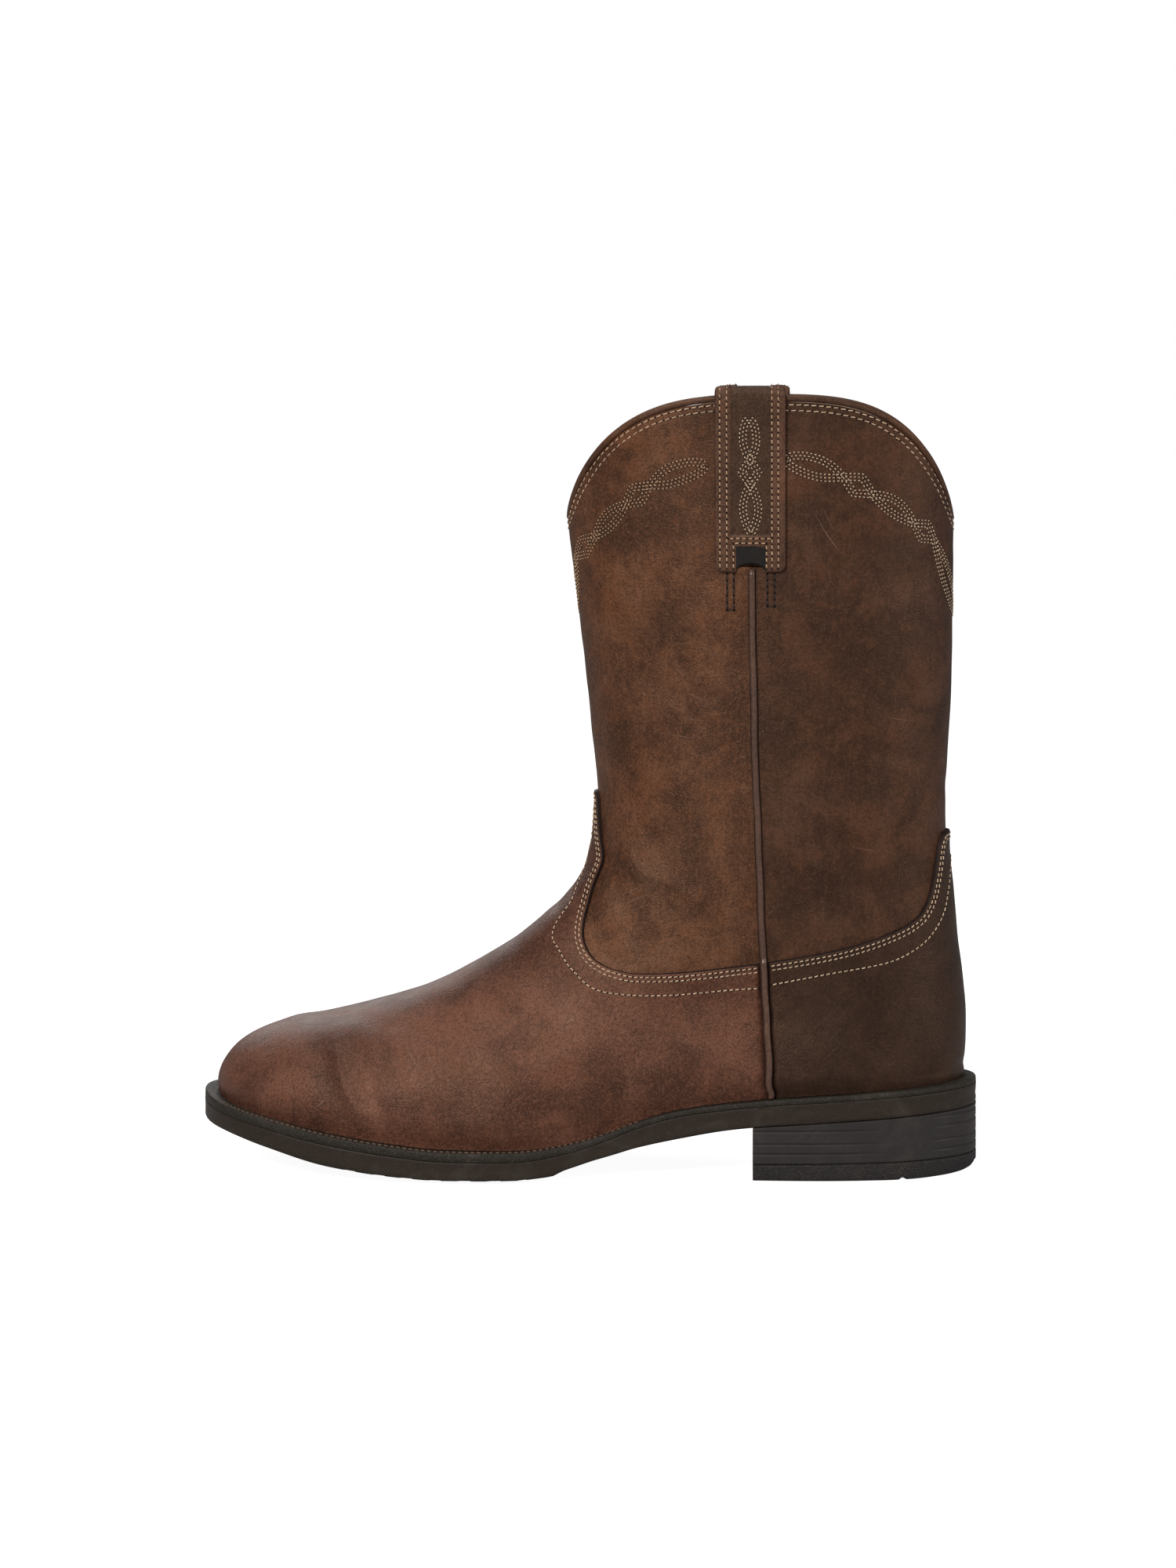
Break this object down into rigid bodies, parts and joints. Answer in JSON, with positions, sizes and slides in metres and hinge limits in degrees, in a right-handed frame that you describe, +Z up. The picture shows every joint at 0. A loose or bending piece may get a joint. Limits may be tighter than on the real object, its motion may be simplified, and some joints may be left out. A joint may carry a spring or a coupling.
{
  "type": "roper boot",
  "caption": "Pull-on roper boot for the left foot: scalloped shaft with pull straps, vamp and counter overlays, welted sole and low heel.",
  "frame": {"origin": "on the floor under the middle of the sole's length and width", "axes": "+Z up, -X towards the toe, -Y towards the outer side"},
  "size_m": [0.305, 0.1053, 0.3065],
  "materials": {
    "leather_brown": "oiled pull-up, distressed",
    "leather_dark": "oiled pull-up, distressed",
    "leather_black": "satin",
    "rubber_black": "matt, moulded",
    "insole_tan": "matt"
  },
  "bodies": {
    "root": {"upper": "leather_brown", "vamp": "leather_dark", "counter": "leather_dark", "side_piping_outer": "leather_dark", "side_piping_inner": "leather_dark", "collar_piping": "leather_black", "pull_strap_outer": "leather_brown", "pull_strap_inner": "leather_brown", "welt": "rubber_black", "outsole": "rubber_black", "heel_block": "rubber_black", "heel_cap": "rubber_black", "insole": "insole_tan"}
  },
  "joints": []
}
